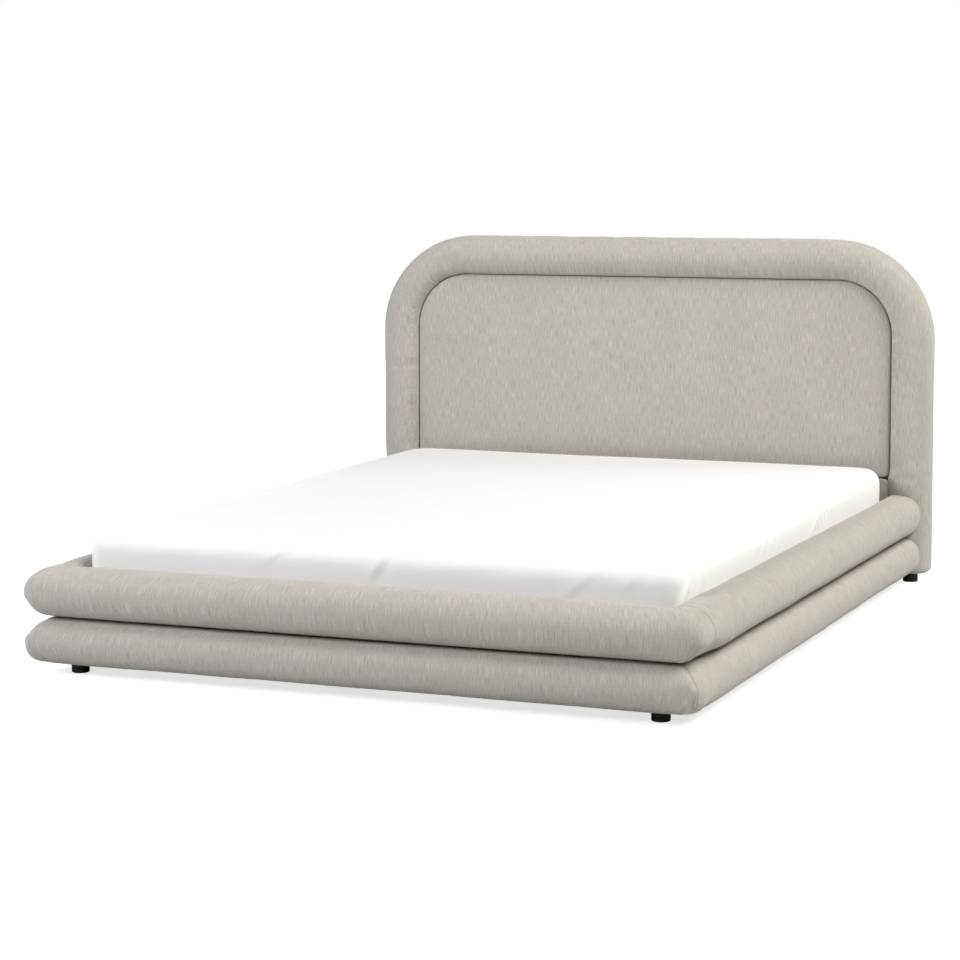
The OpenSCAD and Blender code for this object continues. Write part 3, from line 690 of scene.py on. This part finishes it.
def pad(name, sides_at, profile, crown, place, closed):
    """A crowned pad: a face, rings at profile's (inset, depth) pairs, and a back if closed."""
    face = patch(sides_at(profile[0][0]))
    rows, columns = face.shape[:2]
    flat = face.reshape(-1, 2)
    rise = (crown * dome(columns, rows)).ravel()
    vertices = [place(flat[:, 0], flat[:, 1], profile[0][1] - rise)]
    faces = grid_faces(rows, columns, False)
    cloth = {k: flat[k] for k in range(len(flat))}
    edge = loop_of(sides_at(profile[0][0]))
    outward = edge - inset_section(edge, 0.001)
    outward /= np.linalg.norm(outward, axis=1)[:, None]
    before, base, away = loop_indices(columns, rows), len(flat), 0.0
    for k in range(1, len(profile)):
        (inset, depth), (last_inset, last_depth) = profile[k], profile[k - 1]
        loop = loop_of(sides_at(inset))
        away += math.hypot(inset - last_inset, depth - last_depth)
        vertices.append(place(loop[:, 0], loop[:, 1], np.full(len(loop), depth)))
        now = list(range(base, base + len(loop)))
        for j in range(len(loop)):
            n = (j + 1) % len(loop)
            faces.append((before[j], before[n], now[n], now[j]))
            cloth[now[j]] = edge[j] + outward[j] * away
        before, base = now, base + len(loop)
    if closed:
        back = patch(sides_at(profile[-1][0])).reshape(-1, 2)
        vertices.append(place(back[:, 0], back[:, 1], np.full(len(back), profile[-1][1])))
        border = dict(zip(loop_indices(columns, rows), before))
        index = [border.get(k, base + k) for k in range(len(back))]
        faces += [tuple(index[k] for k in quad) for quad in grid_faces(rows, columns, False)]
        cloth.update({base + k: back[k] for k in range(len(back))})
    corners = [cloth[k] for quad in faces for k in quad]
    return add_object(name, np.concatenate(vertices), faces, corners)


def face_hold(piece, counts):
    """Weights that leave only the inside of a pad's face free."""
    columns, rows = counts[0] + 1, counts[1] + 1
    held = np.ones(len(piece.data.vertices))
    held[: columns * rows] = 0.0
    held[loop_indices(columns, rows)] = 1.0
    return held


def on_headboard(front_y):
    """Places a pad's points upright, with depth measured back from front_y."""
    return lambda a, b, depth: np.column_stack([a, front_y + depth, b])


def on_bed(top_z):
    """Places a pad's points lying flat, with depth down from top_z, a little fuller at the head."""

    def place(a, b, depth):
        rise = HEAD_END_RISE * smooth(b, -0.3, 0.9) * smooth(-depth, -0.15, -0.02)
        return np.column_stack([a, b, top_z - depth + rise])

    return place


def soft_edge(radius, steps=4):
    """(inset, depth) pairs that roll a pad's face over its edge."""
    return [(inset, depth) for depth, inset in rounding(radius, steps)]


def under_edge(height):
    """(inset, depth) pairs that roll a mattress's side under its bottom."""
    return [(inset, height - depth) for inset, depth in reversed(soft_edge(UNDER_EDGE))]


def build_panel():
    """The crowned panel inside the border."""
    edge_y = PANEL_LOW.y + PANEL_CROWN
    low, high = (PANEL_LOW.x, PANEL_LOW.z), (PANEL_HIGH.x, PANEL_HIGH.z)
    counts = cells(low, high, CELL)
    sides = sides_of(low, high, (PAD_CORNER, PANEL_CORNER), counts)
    profile = soft_edge(PANEL_ROUND) + [(0, 0.02), (0.001, PANEL_HIGH.y - edge_y)]
    crown = PANEL_CROWN - PANEL_SWELL
    piece = pad("headboard_panel", sides, profile, crown, on_headboard(edge_y), True)
    return piece, face_hold(piece, counts)


def build_apron():
    """The apron below the panel, behind the mattress."""
    low, high = (APRON_LOW.x, APRON_LOW.z + APRON_LIP), (APRON_HIGH.x, APRON_HIGH.z - APRON_LIP)
    counts = cells(low, high, CELL)
    sides = sides_of(low, high, (PAD_CORNER, PAD_CORNER), counts)
    lip = [(inset - APRON_LIP, depth) for inset, depth in soft_edge(APRON_ROUND)]
    profile = lip + [(0, 0.006), (0, 0.02), (0.001, APRON_HIGH.y - APRON_LOW.y)]
    piece = pad("headboard_apron", sides, profile, APRON_CROWN, on_headboard(APRON_LOW.y), True)
    return piece, face_hold(piece, counts)


def fold_places(start, stop, gap, seed, lean=1.0):
    """Places, slants, widths, lengths and heights of small folds along a side of the sheet."""
    chance = random.Random(seed)
    folds = []
    at = start
    while at < stop:
        slant = lean * chance.uniform(0.5, 1.3)
        folds.append((at, slant, *(chance.uniform(*span) for span in FOLD_SPANS)))
        at += gap * chance.uniform(0.7, 1.5)
    return folds


def draw_folds(piece):
    """Draws the sheet's side into small slanting folds, closest together near its corners."""
    x, y, z = coordinates(piece.data).T
    rise = np.zeros(len(x))
    runs = (
        (y, SHEET_HIGH.x - x, RIGHT_FOLDS),
        (-y, SHEET_HIGH.x + x, LEFT_FOLDS),
        (x, y - SHEET_LOW.y, FOOT_FOLDS),
        (-x, SHEET_HIGH.y - y, HEAD_FOLDS),
    )
    for along, inward, groups in runs:
        down = SHEET_HIGH.z - z - inward
        near = smooth(-inward, -0.14, -0.02)
        for group in groups:
            for at, slant, width, length, height in fold_places(*group):
                off = (along - at + slant * down) / width
                ridge = np.exp(-off * off) - FOLD_DIP * np.exp(-((off - 1.7) ** 2))
                fade = smooth(down, -0.035, 0.03) * smooth(-down, -length, -0.4 * length)
                rise += height * ridge * fade * near
    push_out(piece.data, rise * FOLD_HEIGHT)


def build_sheet():
    """The fitted sheet, over the mattress and turned under it."""
    low, high = (SHEET_LOW.x, SHEET_LOW.y), (SHEET_HIGH.x, SHEET_HIGH.y)
    edge_z = SHEET_HIGH.z - MATTRESS_CROWN
    height = edge_z - SHEET_LOW.z
    drop = [(0, z) for z in np.linspace(MATTRESS_EDGE, height - UNDER_EDGE, 13)[1:-1]]
    turned = [(UNDER_EDGE + t, height) for t in np.linspace(0, TURNED_UNDER, 5)[1:]]
    profile = soft_edge(MATTRESS_EDGE, 6) + drop + under_edge(height) + turned
    sides = sides_of(low, high, MATTRESS_CORNERS, cells(low, high, SHEET_CELL))
    return pad("fitted_sheet_cover", sides, profile, MATTRESS_CROWN, on_bed(edge_z), False)


def build_mattress():
    """The mattress, seen only where the sheet leaves it bare."""
    low, high = (CORE_LOW.x, CORE_LOW.y), (CORE_HIGH.x, CORE_HIGH.y)
    edge_z = CORE_HIGH.z - MATTRESS_CROWN
    height = edge_z - CORE_LOW.z
    drop = [(0, z) for z in np.linspace(MATTRESS_EDGE + 0.01, height - UNDER_EDGE - 0.005, 6)]
    profile = soft_edge(MATTRESS_EDGE) + drop + under_edge(height)
    sides = sides_of(low, high, MATTRESS_CORNERS, cells(low, high, MATTRESS_CELL))
    return pad("mattress_pad", sides, profile, MATTRESS_CROWN, on_bed(edge_z), True)


# Darkest and lightest colour of each material
FABRIC_DARK, FABRIC_LIGHT = (0.288, 0.269, 0.241), (0.600, 0.576, 0.541)
SHEET_DARK, SHEET_LIGHT = (0.81, 0.81, 0.815), (0.87, 0.87, 0.875)
# The ticking's darkest colour is painted shade for the quilting's grooves
TICKING_GROOVE_SHADE, TICKING_LIGHT = (0.62, 0.61, 0.58), (0.82, 0.81, 0.78)
STRAP_DARK, STRAP_LIGHT = (0.02, 0.02, 0.022), (0.12, 0.12, 0.125)
PINE_DARK, PINE_LIGHT = (0.46, 0.30, 0.155), (0.72, 0.55, 0.34)
PLY_DARK, PLY_LIGHT = (0.42, 0.28, 0.16), (0.66, 0.50, 0.32)
ZINC_DARK, ZINC_LIGHT = (0.46, 0.46, 0.45), (0.72, 0.72, 0.70)
PLASTIC_DARK, PLASTIC_LIGHT = (0.006, 0.006, 0.006), (0.014, 0.014, 0.014)

# The ticking's quilting, in radians per metre
QUILT_TURNS = 26


class Nodes:
    """Short calls for building the nodes of a new material or world."""

    def __init__(self, name, kind=bpy.data.materials, shader="Principled BSDF"):
        self.owner = kind.new(name)
        self.owner.use_nodes = True
        self.tree = self.owner.node_tree
        self.shader = self.tree.nodes[shader]

    def add(self, kind, **settings):
        """A new node with its settings."""
        made = self.tree.nodes.new(kind)
        for key, value in settings.items():
            setattr(made, key, value)
        return made

    def link(self, source, target):
        self.tree.links.new(source, target)

    def set(self, node, **values):
        """Sets a node's inputs, named with underscores for spaces."""
        for key, value in values.items():
            node.inputs[key.replace("_", " ")].default_value = value

    def weave(self, across, along):
        """Cloth coordinates with across and along turned into counts per metre."""
        source = self.add("ShaderNodeUVMap", uv_map=WEAVE_MAP).outputs["UV"]
        return self.scaled(source, (across, along, 1))

    def place(self, scale):
        """The place in the shared frame, in counts per metre along each axis."""
        return self.scaled(self.add("ShaderNodeTexCoord").outputs["Object"], scale)

    def scaled(self, source, scale):
        product = self.add("ShaderNodeVectorMath", operation="MULTIPLY")
        product.inputs[1].default_value = scale
        self.link(source, product.inputs[0])
        return product.outputs[0]

    def noise(self, vector, detail=2.0, roughness=0.5, distortion=0.0):
        """Cloudy noise, about 0 to 1, at the places given."""
        made = self.add("ShaderNodeTexNoise")
        self.set(made, Scale=1.0, Detail=detail, Roughness=roughness, Distortion=distortion)
        self.link(vector, made.inputs["Vector"])
        return made.outputs["Fac"]

    def range(self, value, low, high, to_low=0.0, to_high=1.0):
        """A soft step from to_low at low to to_high at high."""
        made = self.add("ShaderNodeMapRange", interpolation_type="SMOOTHSTEP")
        self.set(made, From_Min=low, From_Max=high, To_Min=to_low, To_Max=to_high)
        self.link(value, made.inputs["Value"])
        return made.outputs["Result"]

    def math(self, operation, *values):
        """The result of a sum on numbers or sockets."""
        made = self.add("ShaderNodeMath", operation=operation)
        for socket, value in zip(made.inputs, values):
            if isinstance(value, (int, float)):
                socket.default_value = value
            else:
                self.link(value, socket)
        return made.outputs[0]

    def colour(self, factor, dark, light):
        """Colours the surface from dark, at 0, to light, at 1."""
        made = self.add("ShaderNodeMix", data_type="RGBA")
        self.link(factor, made.inputs[0])
        for socket, colour in ((made.inputs[6], dark), (made.inputs[7], light)):
            socket.default_value = (*colour, 1)
        self.link(made.outputs[2], self.shader.inputs["Base Color"])

    def roughness(self, *step):
        """Makes the surface's roughness a soft step of a value."""
        self.link(self.range(*step), self.shader.inputs["Roughness"])

    def bump(self, height, strength, distance):
        """Raises the surface's small relief by a height."""
        made = self.add("ShaderNodeBump")
        self.set(made, Strength=strength, Distance=distance)
        self.link(height, made.inputs["Height"])
        self.link(made.outputs["Normal"], self.shader.inputs["Normal"])


def cover_fabric():
    """Slubbed woven cloth: fine heathered threads with short, thicker ones along the warp."""
    n = Nodes("cover_fabric")
    slubs = n.noise(n.weave(380, 30), detail=3.0, roughness=0.65)
    light_slub = n.range(slubs, 0.53, 0.70)
    dark_slub = n.range(slubs, 0.47, 0.30)
    heather = n.noise(n.weave(620, 330), detail=2.0)
    threads = n.noise(n.weave(1500, 160), detail=1.0)
    tone = n.noise(n.weave(9, 5), detail=2.0)
    level = n.math("MULTIPLY_ADD", light_slub, 0.40, 0.5)
    level = n.math("SUBTRACT", level, n.math("MULTIPLY", dark_slub, 0.36))
    for part, weight in ((heather, 0.55), (threads, 0.35), (tone, 0.16)):
        level = n.math("ADD", level, n.math("MULTIPLY", n.math("SUBTRACT", part, 0.5), weight))
    n.colour(level, FABRIC_DARK, FABRIC_LIGHT)
    height = n.math("ADD", n.math("MULTIPLY", threads, 0.5), n.math("MULTIPLY", slubs, 0.8))
    height = n.math("ADD", height, n.math("MULTIPLY", heather, 0.5))
    n.bump(height, 0.5, 0.0009)
    n.roughness(heather, 0.3, 0.7, 0.86, 0.98)
    n.set(n.shader, Sheen_Weight=0.15, Sheen_Roughness=0.5, Specular_IOR_Level=0.2)
    return n.owner


def sheet_cotton():
    """White percale with a faint crossed weave."""
    n = Nodes("sheet_cotton")
    tone = n.noise(n.weave(14, 14), detail=2.0)
    warp = n.noise(n.weave(1400, 260), detail=1.0)
    weft = n.noise(n.weave(260, 1400), detail=1.0)
    weave = n.math("ADD", n.math("MULTIPLY", warp, 0.5), n.math("MULTIPLY", weft, 0.5))
    level = n.math("ADD", n.math("MULTIPLY", tone, 0.5), n.math("MULTIPLY", weave, 0.5))
    n.colour(level, SHEET_DARK, SHEET_LIGHT)
    n.bump(weave, 0.25, 0.0004)
    n.roughness(weave, 0.35, 0.65, 0.75, 0.9)
    n.set(n.shader, Sheen_Weight=0.03, Sheen_Roughness=0.5, Specular_IOR_Level=0.15)
    return n.owner


def mattress_ticking():
    """Off-white ticking quilted in diamonds, with painted shade darkening the quilting's grooves.
    """
    n = Nodes("mattress_ticking")
    parts = n.add("ShaderNodeSeparateXYZ")
    n.link(n.place((1, 1, 1)), parts.inputs[0])
    x, y = parts.outputs[0], parts.outputs[1]
    first, second = (
        n.math("ABSOLUTE", n.math("SINE", n.math("MULTIPLY", n.math(way, x, y), QUILT_TURNS)))
        for way in ("ADD", "SUBTRACT")
    )
    quilt = n.math("POWER", n.math("MULTIPLY", first, second), 0.4)
    knit = n.noise(n.place((900, 900, 900)), detail=1.0)
    # Painted shade: the ticking darkens towards the quilting's grooves, the same lines that the
    # bump sinks
    n.colour(quilt, TICKING_GROOVE_SHADE, TICKING_LIGHT)
    n.bump(n.math("ADD", quilt, n.math("MULTIPLY", knit, 0.15)), 0.7, 0.004)
    n.roughness(knit, 0.3, 0.7, 0.8, 0.92)
    return n.owner


def timber(name, grain, dark, light):
    """Planed softwood whose grain runs along one axis: 0 across the bed, 1 along it, 2 upright."""
    n = Nodes(name)
    fine, broad = [90.0] * 3, [14.0] * 3
    fine[grain], broad[grain] = 3.0, 0.7
    rings = n.noise(n.place(tuple(broad)), detail=3.0, roughness=0.55, distortion=1.2)
    fibres = n.noise(n.place(tuple(fine)), detail=3.0, roughness=0.6)
    level = n.math("ADD", n.math("MULTIPLY", rings, 0.65), n.math("MULTIPLY", fibres, 0.35))
    n.colour(n.range(level, 0.35, 0.68), dark, light)
    n.bump(fibres, 0.3, 0.0006)
    n.roughness(fibres, 0.3, 0.7, 0.5, 0.68)
    return n.owner


def zinc_steel():
    """Zinc plating with a faint spangle and rubbed patches."""
    n = Nodes("steel")
    spangle = n.noise(n.place((160, 160, 160)), detail=2.0)
    rubbed = n.noise(n.place((900, 900, 60)), detail=2.0)
    n.colour(spangle, ZINC_DARK, ZINC_LIGHT)
    n.roughness(rubbed, 0.3, 0.7, 0.28, 0.5)
    n.bump(rubbed, 0.15, 0.0003)
    n.set(n.shader, Metallic=1.0)
    return n.owner


def black_plastic():
    """Moulded black plastic with a spark-eroded skin."""
    n = Nodes("black_plastic")
    skin = n.noise(n.place((1100, 1100, 1100)), detail=2.0)
    wear = n.noise(n.place((60, 60, 60)), detail=3.0)
    n.colour(wear, PLASTIC_DARK, PLASTIC_LIGHT)
    n.roughness(wear, 0.3, 0.7, 0.42, 0.6)
    n.bump(skin, 0.25, 0.0003)
    n.set(n.shader, Specular_IOR_Level=0.2)
    return n.owner


def webbing():
    """Woven polyester strap in grey and black."""
    n = Nodes("webbing")
    across = n.noise(n.place((700, 90, 90)), detail=1.0)
    along = n.add("ShaderNodeTexWave", wave_type="BANDS", bands_direction="DIAGONAL")
    n.set(along, Scale=1.0, Distortion=0.5, Detail=0.0)
    n.link(n.place((160, 160, 160)), along.inputs["Vector"])
    level = n.math("MULTIPLY", across, along.outputs["Fac"])
    n.colour(level, STRAP_DARK, STRAP_LIGHT)
    n.bump(level, 0.5, 0.0008)
    n.roughness(across, 0.3, 0.7, 0.7, 0.9)
    return n.owner


def paint(piece, material):
    """Makes one material a piece's only one."""
    piece.data.materials.clear()
    piece.data.materials.append(material)


def dress_frame_nodes():
    """Puts the real material on every CAD piece that stays in view."""
    across = timber("timber_across", 0, PINE_DARK, PINE_LIGHT)
    along = timber("timber_along", 1, PINE_DARK, PINE_LIGHT)
    upright = timber("timber_upright", 2, PINE_DARK, PINE_LIGHT)
    plywood = timber("plywood", 0, PLY_DARK, PLY_LIGHT)
    steel, plastic, strap = zinc_steel(), black_plastic(), webbing()
    finishes = (
        (upright, ("headboard_post_left", "headboard_post_right", "centre_legs")),
        (across, ("headboard_top_rail", "headboard_lower_rail", "foot_rail", "slats")),
        (along, ("side_rail_left", "side_rail_right", "slat_ledger_left", "slat_ledger_right")),
        (along, ("centre_beam", "foot_plates")),
        (plywood, ("headboard_plywood",)),
        (strap, ("slat_straps",)),
        (plastic, ("foot_front_left", "foot_front_right", "foot_rear_left", "foot_rear_right")),
        (plastic, ("centre_leg_glides",)),
        (steel, ("beam_hangers", "corner_brackets", "bracket_screws", "foot_screws")),
        (steel, ("headboard_bolts", "headboard_nuts")),
    )
    for finish, nodes in finishes:
        for node in nodes:
            paint(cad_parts[node], finish)


def finish_piece(piece, body, material, nodes):
    """Gives a sewn piece its material and body, and hides the nodes that it stands for."""
    paint(piece, material)
    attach(piece, body)
    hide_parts(*nodes)


def finer(piece):
    """Adds one smoothing subdivision."""
    modifier = piece.modifiers.new("finer", "SUBSURF")
    modifier.levels = modifier.render_levels = 1
    modifier.uv_smooth = "PRESERVE_BOUNDARIES"


def build_back_cloth():
    """The cloth stapled flat over the headboard's back, its edge tucked under the border's."""
    low = (CLOTH_LOW.x - CLOTH_TUCK, CLOTH_LOW.z)
    high = (CLOTH_HIGH.x + CLOTH_TUCK, CLOTH_HIGH.z + CLOTH_TUCK)
    sides = sides_of(low, high, (PAD_CORNER, PANEL_CORNER + CLOTH_TUCK), BACK_COUNTS)
    profile = [(0.002, CLOTH_HIGH.y - CLOTH_LOW.y), (0, 0.0002)]
    return pad("headboard_back_cloth_cover", sides, profile, 0.0, on_headboard(CLOTH_LOW.y), True)


def make_pieces():
    """Builds, fills and dresses every sewn piece."""
    fabric, cotton, ticking = cover_fabric(), sheet_cotton(), mattress_ticking()
    filled = [
        build_foot_upper(),
        build_foot_lower(),
        build_side_upper("right"),
        build_side_lower("right"),
        build_side_upper("left"),
        build_side_lower("left"),
        build_border(),
        build_panel(),
        build_apron(),
    ]
    for k, (piece, held) in enumerate(filled):
        uneven(piece, UNEVEN_HEIGHT, UNEVEN_SPAN, 7.3 * k, held)
    stuff({piece: (held, CAPS.get(piece.name, ROLL_CAP)) for piece, held in filled})
    for piece, _ in filled:
        finer(piece)
        nodes = [piece.name + part for part in ("_foam", "_cover")]
        finish_piece(piece, "bed_frame", fabric, nodes)
    back = build_back_cloth()
    finish_piece(back, "bed_frame", fabric, ["headboard_back_cloth"])
    core = build_mattress()
    finer(core)
    finish_piece(core, "mattress", ticking, ["mattress_core"])
    sheet = build_sheet()
    uneven(sheet, SHEET_UNEVEN_HEIGHT, SHEET_UNEVEN_SPAN, 41.0, np.zeros(len(sheet.data.vertices)))
    draw_folds(sheet)
    finer(sheet)
    finish_piece(sheet, "mattress", cotton, ["fitted_sheet"])


# Where the lamps point, and the surroundings' own light on the bed
LAMP_TARGET = (0, 0, 0.3)
WORLD_LIGHT = 0.03

# The floor as the camera sees it: its lift near and far from the bed, over this span
FLOOR_LIFT = (0.72, 1.0)
FLOOR_LIFT_SPAN = (2.5, 5.0)

# Lamps: name, place, size, watts and colour
LAMPS = (
    ("key_light", (5.3, -1.3, 5.8), 4.0, 532.0, (1.0, 0.985, 0.94)),
    ("rear_light", (4.6, 4.2, 5.0), 4.0, 200.0, (1.0, 0.985, 0.94)),
    ("front_light", (-5.0, -6.0, 4.0), 4.0, 500.0, (0.975, 0.97, 1.0)),
    ("left_light", (-6.0, -2.0, 4.0), 4.0, 80.0, (1.0, 0.95, 0.96)),
    ("back_light", (-2.0, 8.0, 1.5), 2.4, 250.0, (1.0, 0.99, 0.97)),
)


def make_camera():
    """The camera that the photograph's vanishing lines give."""
    data = bpy.data.cameras.new("camera")
    data.lens = CAMERA_LENS_MM
    data.shift_y = CAMERA_SHIFT_Y
    data.clip_end = 100
    camera = bpy.data.objects.new("camera", data)
    camera.location = CAMERA_PLACE
    camera.rotation_euler = [math.radians(a) for a in CAMERA_TURN_DEGREES]
    bpy.context.scene.collection.objects.link(camera)
    bpy.context.scene.camera = camera


def area_light(name, place, size, power, colour):
    """A round soft lamp that points at the middle of the bed."""
    data = bpy.data.lights.new(name, "AREA")
    data.shape = "DISK"
    data.size = size
    data.energy = power
    data.color = colour
    lamp = bpy.data.objects.new(name, data)
    lamp.location = place
    lamp.rotation_euler = (Vector(LAMP_TARGET) - Vector(place)).to_track_quat("-Z", "Y").to_euler()
    bpy.context.scene.collection.objects.link(lamp)


def make_studio():
    """White surroundings for camera and gloss rays alone, and the soft lamps."""
    n = Nodes("studio", bpy.data.worlds, "Background")
    bpy.context.scene.world = n.owner
    path = n.add("ShaderNodeLightPath")
    seen = n.math("MAXIMUM", path.outputs["Is Camera Ray"], path.outputs["Is Glossy Ray"])
    n.link(n.range(seen, 0, 1, WORLD_LIGHT), n.shader.inputs["Strength"])
    n.set(n.shader, Color=(1, 1, 1, 1))
    for lamp in LAMPS:
        area_light(*lamp)


def make_floor():
    """A large pale floor that keeps the bed's shadow and meets the white surroundings."""
    bpy.ops.mesh.primitive_plane_add(size=60)
    floor = bpy.context.object
    floor.name = "floor"
    n = Nodes("floor")
    n.set(n.shader, Base_Color=(0.60, 0.60, 0.60, 1), Roughness=1.0, Specular_IOR_Level=0.0)
    lift = n.add("ShaderNodeEmission")
    path = n.add("ShaderNodeLightPath")
    away = n.add("ShaderNodeVectorMath", operation="LENGTH")
    n.link(n.place((1, 1, 1)), away.inputs[0])
    level = n.range(away.outputs["Value"], *FLOOR_LIFT_SPAN, *FLOOR_LIFT)
    n.link(n.math("MULTIPLY", path.outputs["Is Camera Ray"], level), lift.inputs["Strength"])
    total = n.add("ShaderNodeAddShader")
    n.link(n.shader.outputs[0], total.inputs[0])
    n.link(lift.outputs[0], total.inputs[1])
    n.link(total.outputs[0], n.tree.nodes["Material Output"].inputs["Surface"])
    paint(floor, n.owner)


bpy.context.scene.view_settings.view_transform = "Standard"
make_camera()
make_studio()
make_floor()
dress_frame_nodes()
make_pieces()
